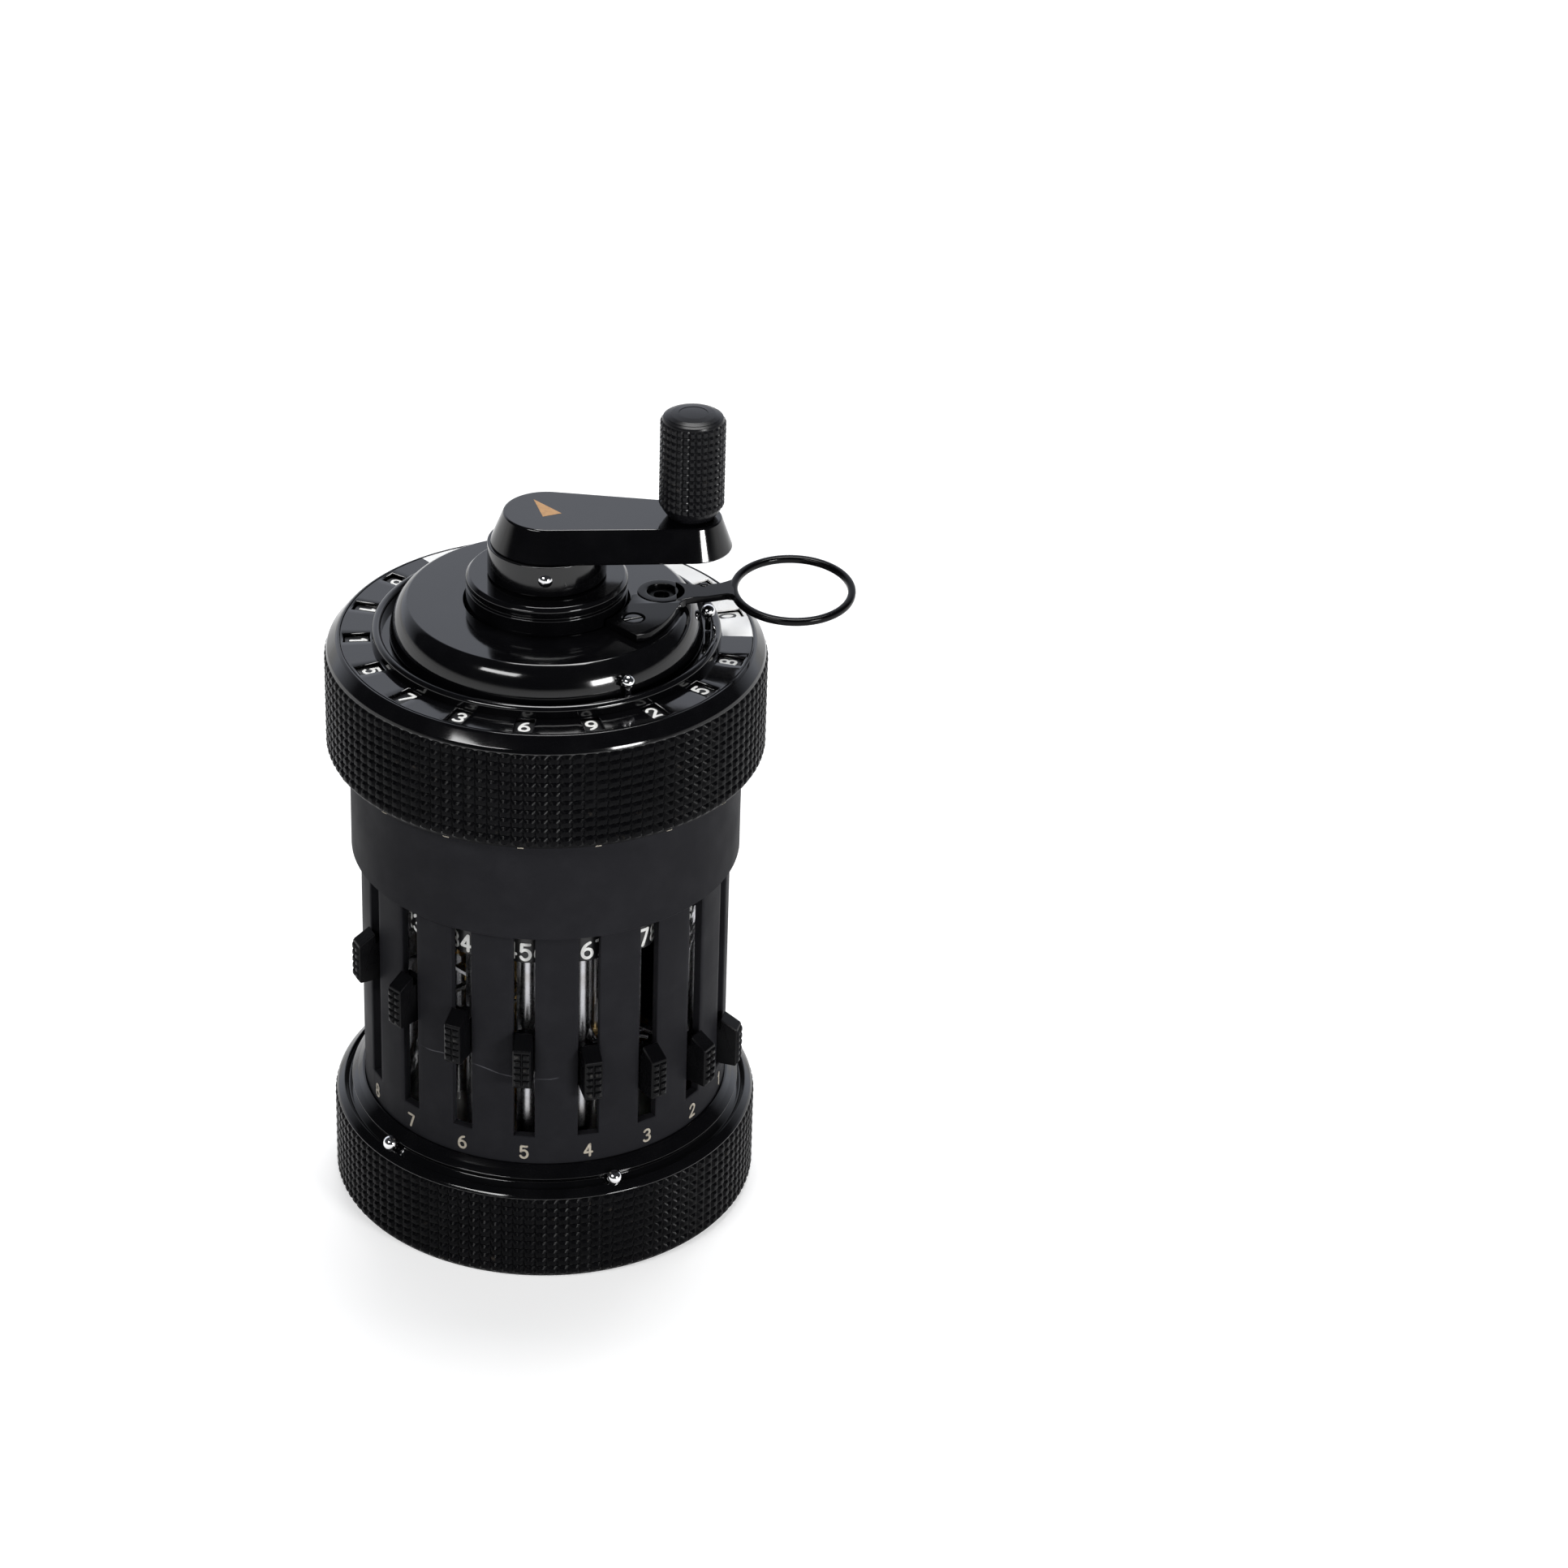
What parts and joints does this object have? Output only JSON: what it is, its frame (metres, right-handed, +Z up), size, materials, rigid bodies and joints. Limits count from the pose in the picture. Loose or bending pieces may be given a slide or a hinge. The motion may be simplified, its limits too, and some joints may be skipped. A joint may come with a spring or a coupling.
{
  "type": "mechanical pocket calculator",
  "caption": "Pocket mechanical calculator: a cylindrical body with setting sliders, a lifting and turning carriage of number dials, a clearing lever with a finger ring, and a top crank.",
  "frame": {"origin": "centre of the base cap's flat underside", "axes": "+Z up along the main shaft, -Y towards the middle of the slider bank, +X within 7 degrees of the crank's knob"},
  "size_m": [0.0632, 0.053, 0.1053],
  "materials": {
    "black_enamel": "glossy black enamel",
    "satin_black": "satin black lacquer",
    "knurled_black": "black lacquer over a cut knurl",
    "slider_black": "semi-gloss black",
    "steel": "turned and polished steel",
    "bright_steel": "polished bright steel",
    "brass": "machined brass",
    "frame_alloy": "machined light alloy",
    "dial_black": "black dial with white figures",
    "dial_white": "white dial with black figures",
    "window_black": "glossy black ring with a white sector"
  },
  "bodies": {
    "chassis": {"base_cap": "knurled_black", "housing_shell": "satin_black", "label_collar": "satin_black", "lower_frame": "frame_alloy", "upper_frame": "frame_alloy", "retaining_nut": "black_enamel", "carriage_spring": "steel", "transmission_shafts": "steel"},
    "ratchet": {"ratchet_wheel": "brass"},
    "crank": {"main_shaft": "steel", "step_drum": "brass", "crank_arm": "black_enamel", "hub_pin": "bright_steel", "knob_spindle": "steel"},
    "knob": {"crank_knob": "knurled_black"},
    "spring_cup": {"spring_cup": "steel"},
    "carriage": {"carriage_ring": "knurled_black", "carriage_frame": "frame_alloy", "window_ring": "window_black"},
    "clearing": {"clearing_plate": "black_enamel", "lever_bracket": "black_enamel", "lever_screws": "steel"},
    "lever": {"clearing_lever": "black_enamel"},
    "reversing": {"reversing_slider": "bright_steel"},
    "carriage_marker": {"carriage_marker": "bright_steel"},
    "base_marker_1": {"base_marker_1": "bright_steel"},
    "base_marker_2": {"base_marker_2": "bright_steel"},
    "setting_slider_1": {"setting_slider_1": "slider_black"},
    "setting_shaft_1": {"setting_shaft_1": "steel"},
    "setting_slider_2": {"setting_slider_2": "slider_black"},
    "setting_shaft_2": {"setting_shaft_2": "steel"},
    "setting_slider_3": {"setting_slider_3": "slider_black"},
    "setting_shaft_3": {"setting_shaft_3": "steel"},
    "setting_slider_4": {"setting_slider_4": "slider_black"},
    "setting_shaft_4": {"setting_shaft_4": "steel"},
    "setting_slider_5": {"setting_slider_5": "slider_black"},
    "setting_shaft_5": {"setting_shaft_5": "steel"},
    "setting_slider_6": {"setting_slider_6": "slider_black"},
    "setting_shaft_6": {"setting_shaft_6": "steel"},
    "setting_slider_7": {"setting_slider_7": "slider_black"},
    "setting_shaft_7": {"setting_shaft_7": "steel"},
    "setting_slider_8": {"setting_slider_8": "slider_black"},
    "setting_shaft_8": {"setting_shaft_8": "steel"},
    "result_dial_1": {"result_dial_1": "dial_black"},
    "result_dial_2": {"result_dial_2": "dial_black"},
    "result_dial_3": {"result_dial_3": "dial_black"},
    "result_dial_4": {"result_dial_4": "dial_black"},
    "result_dial_5": {"result_dial_5": "dial_black"},
    "result_dial_6": {"result_dial_6": "dial_black"},
    "result_dial_7": {"result_dial_7": "dial_black"},
    "result_dial_8": {"result_dial_8": "dial_black"},
    "result_dial_9": {"result_dial_9": "dial_black"},
    "result_dial_10": {"result_dial_10": "dial_black"},
    "result_dial_11": {"result_dial_11": "dial_black"},
    "counter_dial_1": {"counter_dial_1": "dial_white"},
    "counter_dial_2": {"counter_dial_2": "dial_white"},
    "counter_dial_3": {"counter_dial_3": "dial_white"},
    "counter_dial_4": {"counter_dial_4": "dial_white"},
    "counter_dial_5": {"counter_dial_5": "dial_white"},
    "counter_dial_6": {"counter_dial_6": "dial_white"}
  },
  "joints": [
    {"name": "crank_turn", "type": "hinge", "parent": "chassis", "child": "ratchet", "pos_m": [0, 0, 0.015], "axis": [0, 0, 1], "continuous": true},
    {"name": "crank_lift", "type": "slide", "parent": "ratchet", "child": "crank", "axis": [0, 0, 1], "range_m": [0, 0.003]},
    {"name": "knob_spin", "type": "hinge", "parent": "crank", "child": "knob", "pos_m": [0.01677, -0.00206, 0.0924], "axis": [0, 0, 1], "continuous": true},
    {"name": "carriage_lift", "type": "slide", "parent": "chassis", "child": "spring_cup", "axis": [0, 0, 1], "range_m": [0, 0.004], "stiffness_N_per_m": 400, "springref_m": -0.006, "deforming": ["carriage_spring"]},
    {"name": "carriage_turn", "type": "hinge", "parent": "spring_cup", "child": "carriage", "pos_m": [0, 0, 0.075], "axis": [0, 0, 1], "range_deg": [0, 100]},
    {"name": "clearing_turn", "type": "hinge", "parent": "carriage", "child": "clearing", "pos_m": [0, 0, 0.08], "axis": [0, 0, 1], "continuous": true},
    {"name": "lever_fold", "type": "hinge", "parent": "clearing", "child": "lever", "pos_m": [0.01358, -0.00071, 0.0805], "axis": [0, 0, 1], "range_deg": [0, 103]},
    {"name": "reversing_slide", "type": "slide", "parent": "chassis", "child": "reversing", "axis": [0, 0, 1], "range_m": [0, 0.003]},
    {"name": "carriage_marker_slide", "type": "hinge", "parent": "carriage", "child": "carriage_marker", "pos_m": [0, 0, 0.077], "axis": [0, 0, 1], "range_deg": [-130, 40]},
    {"name": "base_marker_1_slide", "type": "hinge", "parent": "chassis", "child": "base_marker_1", "pos_m": [0, 0, 0.013], "axis": [0, 0, 1], "range_deg": [-40, 28]},
    {"name": "base_marker_2_slide", "type": "hinge", "parent": "chassis", "child": "base_marker_2", "pos_m": [0, 0, 0.013], "axis": [0, 0, 1], "range_deg": [-33, 60]},
    {"name": "slider_1", "type": "slide", "parent": "chassis", "child": "setting_slider_1", "axis": [0, 0, 1], "range_m": [0, 0.018]},
    {"name": "setting_turn_1", "type": "hinge", "parent": "chassis", "child": "setting_shaft_1", "pos_m": [0.0172, -0.00626, 0.03], "axis": [0, 0, 1], "range_deg": [-1, 325]},
    {"name": "slider_2", "type": "slide", "parent": "chassis", "child": "setting_slider_2", "axis": [0, 0, 1], "range_m": [-0.002, 0.016]},
    {"name": "setting_turn_2", "type": "hinge", "parent": "chassis", "child": "setting_shaft_2", "pos_m": [0.01402, -0.01176, 0.03], "axis": [0, 0, 1], "range_deg": [-37, 289]},
    {"name": "slider_3", "type": "slide", "parent": "chassis", "child": "setting_slider_3", "axis": [0, 0, 1], "range_m": [-0.004, 0.014]},
    {"name": "setting_turn_3", "type": "hinge", "parent": "chassis", "child": "setting_shaft_3", "pos_m": [0.00915, -0.01585, 0.03], "axis": [0, 0, 1], "range_deg": [-73, 253]},
    {"name": "slider_4", "type": "slide", "parent": "chassis", "child": "setting_slider_4", "axis": [0, 0, 1], "range_m": [-0.006, 0.012]},
    {"name": "setting_turn_4", "type": "hinge", "parent": "chassis", "child": "setting_shaft_4", "pos_m": [0.00318, -0.01802, 0.03], "axis": [0, 0, 1], "range_deg": [-109, 217]},
    {"name": "slider_5", "type": "slide", "parent": "chassis", "child": "setting_slider_5", "axis": [0, 0, 1], "range_m": [-0.008, 0.01]},
    {"name": "setting_turn_5", "type": "hinge", "parent": "chassis", "child": "setting_shaft_5", "pos_m": [-0.00318, -0.01802, 0.03], "axis": [0, 0, 1], "range_deg": [-145, 181]},
    {"name": "slider_6", "type": "slide", "parent": "chassis", "child": "setting_slider_6", "axis": [0, 0, 1], "range_m": [-0.01, 0.008]},
    {"name": "setting_turn_6", "type": "hinge", "parent": "chassis", "child": "setting_shaft_6", "pos_m": [-0.00915, -0.01585, 0.03], "axis": [0, 0, 1], "range_deg": [-181, 145]},
    {"name": "slider_7", "type": "slide", "parent": "chassis", "child": "setting_slider_7", "axis": [0, 0, 1], "range_m": [-0.012, 0.006]},
    {"name": "setting_turn_7", "type": "hinge", "parent": "chassis", "child": "setting_shaft_7", "pos_m": [-0.01402, -0.01176, 0.03], "axis": [0, 0, 1], "range_deg": [-217, 109]},
    {"name": "slider_8", "type": "slide", "parent": "chassis", "child": "setting_slider_8", "axis": [0, 0, 1], "range_m": [-0.014, 0.004]},
    {"name": "setting_turn_8", "type": "hinge", "parent": "chassis", "child": "setting_shaft_8", "pos_m": [-0.0172, -0.00626, 0.03], "axis": [0, 0, 1], "range_deg": [-253, 73]},
    {"name": "result_dial_1_turn", "type": "hinge", "parent": "carriage", "child": "result_dial_1", "pos_m": [0.02067, -0.00752, 0.0717], "axis": [0.9397, -0.342, 0], "continuous": true},
    {"name": "result_dial_2_turn", "type": "hinge", "parent": "carriage", "child": "result_dial_2", "pos_m": [0.01685, -0.01414, 0.0717], "axis": [0.766, -0.6428, 0], "continuous": true},
    {"name": "result_dial_3_turn", "type": "hinge", "parent": "carriage", "child": "result_dial_3", "pos_m": [0.011, -0.01905, 0.0717], "axis": [0.5, -0.866, 0], "continuous": true},
    {"name": "result_dial_4_turn", "type": "hinge", "parent": "carriage", "child": "result_dial_4", "pos_m": [0.00382, -0.02167, 0.0717], "axis": [0.1736, -0.9848, 0], "continuous": true},
    {"name": "result_dial_5_turn", "type": "hinge", "parent": "carriage", "child": "result_dial_5", "pos_m": [-0.00382, -0.02167, 0.0717], "axis": [-0.1736, -0.9848, 0], "continuous": true},
    {"name": "result_dial_6_turn", "type": "hinge", "parent": "carriage", "child": "result_dial_6", "pos_m": [-0.011, -0.01905, 0.0717], "axis": [-0.5, -0.866, 0], "continuous": true},
    {"name": "result_dial_7_turn", "type": "hinge", "parent": "carriage", "child": "result_dial_7", "pos_m": [-0.01685, -0.01414, 0.0717], "axis": [-0.766, -0.6428, 0], "continuous": true},
    {"name": "result_dial_8_turn", "type": "hinge", "parent": "carriage", "child": "result_dial_8", "pos_m": [-0.02067, -0.00752, 0.0717], "axis": [-0.9397, -0.342, 0], "continuous": true},
    {"name": "result_dial_9_turn", "type": "hinge", "parent": "carriage", "child": "result_dial_9", "pos_m": [-0.022, 0, 0.0717], "axis": [-1, 0, 0], "continuous": true},
    {"name": "result_dial_10_turn", "type": "hinge", "parent": "carriage", "child": "result_dial_10", "pos_m": [-0.02067, 0.00752, 0.0717], "axis": [-0.9397, 0.342, 0], "continuous": true},
    {"name": "result_dial_11_turn", "type": "hinge", "parent": "carriage", "child": "result_dial_11", "pos_m": [-0.01685, 0.01414, 0.0717], "axis": [-0.766, 0.6428, 0], "continuous": true},
    {"name": "counter_dial_1_turn", "type": "hinge", "parent": "carriage", "child": "counter_dial_1", "pos_m": [0.02167, 0.00382, 0.0717], "axis": [0.9848, 0.1736, 0], "continuous": true},
    {"name": "counter_dial_2_turn", "type": "hinge", "parent": "carriage", "child": "counter_dial_2", "pos_m": [0.01905, 0.011, 0.0717], "axis": [0.866, 0.5, 0], "continuous": true},
    {"name": "counter_dial_3_turn", "type": "hinge", "parent": "carriage", "child": "counter_dial_3", "pos_m": [0.01414, 0.01685, 0.0717], "axis": [0.6428, 0.766, 0], "continuous": true},
    {"name": "counter_dial_4_turn", "type": "hinge", "parent": "carriage", "child": "counter_dial_4", "pos_m": [0.00752, 0.02067, 0.0717], "axis": [0.342, 0.9397, 0], "continuous": true},
    {"name": "counter_dial_5_turn", "type": "hinge", "parent": "carriage", "child": "counter_dial_5", "pos_m": [0, 0.022, 0.0717], "axis": [0, 1, 0], "continuous": true},
    {"name": "counter_dial_6_turn", "type": "hinge", "parent": "carriage", "child": "counter_dial_6", "pos_m": [-0.00752, 0.02067, 0.0717], "axis": [-0.342, 0.9397, 0], "continuous": true}
  ],
  "couplings": [
    {"joint": "setting_turn_1", "follows": "slider_1", "rad_per_m": 314.16},
    {"joint": "setting_turn_2", "follows": "slider_2", "rad_per_m": 314.16},
    {"joint": "setting_turn_3", "follows": "slider_3", "rad_per_m": 314.16},
    {"joint": "setting_turn_4", "follows": "slider_4", "rad_per_m": 314.16},
    {"joint": "setting_turn_5", "follows": "slider_5", "rad_per_m": 314.16},
    {"joint": "setting_turn_6", "follows": "slider_6", "rad_per_m": 314.16},
    {"joint": "setting_turn_7", "follows": "slider_7", "rad_per_m": 314.16},
    {"joint": "setting_turn_8", "follows": "slider_8", "rad_per_m": 314.16}
  ]
}
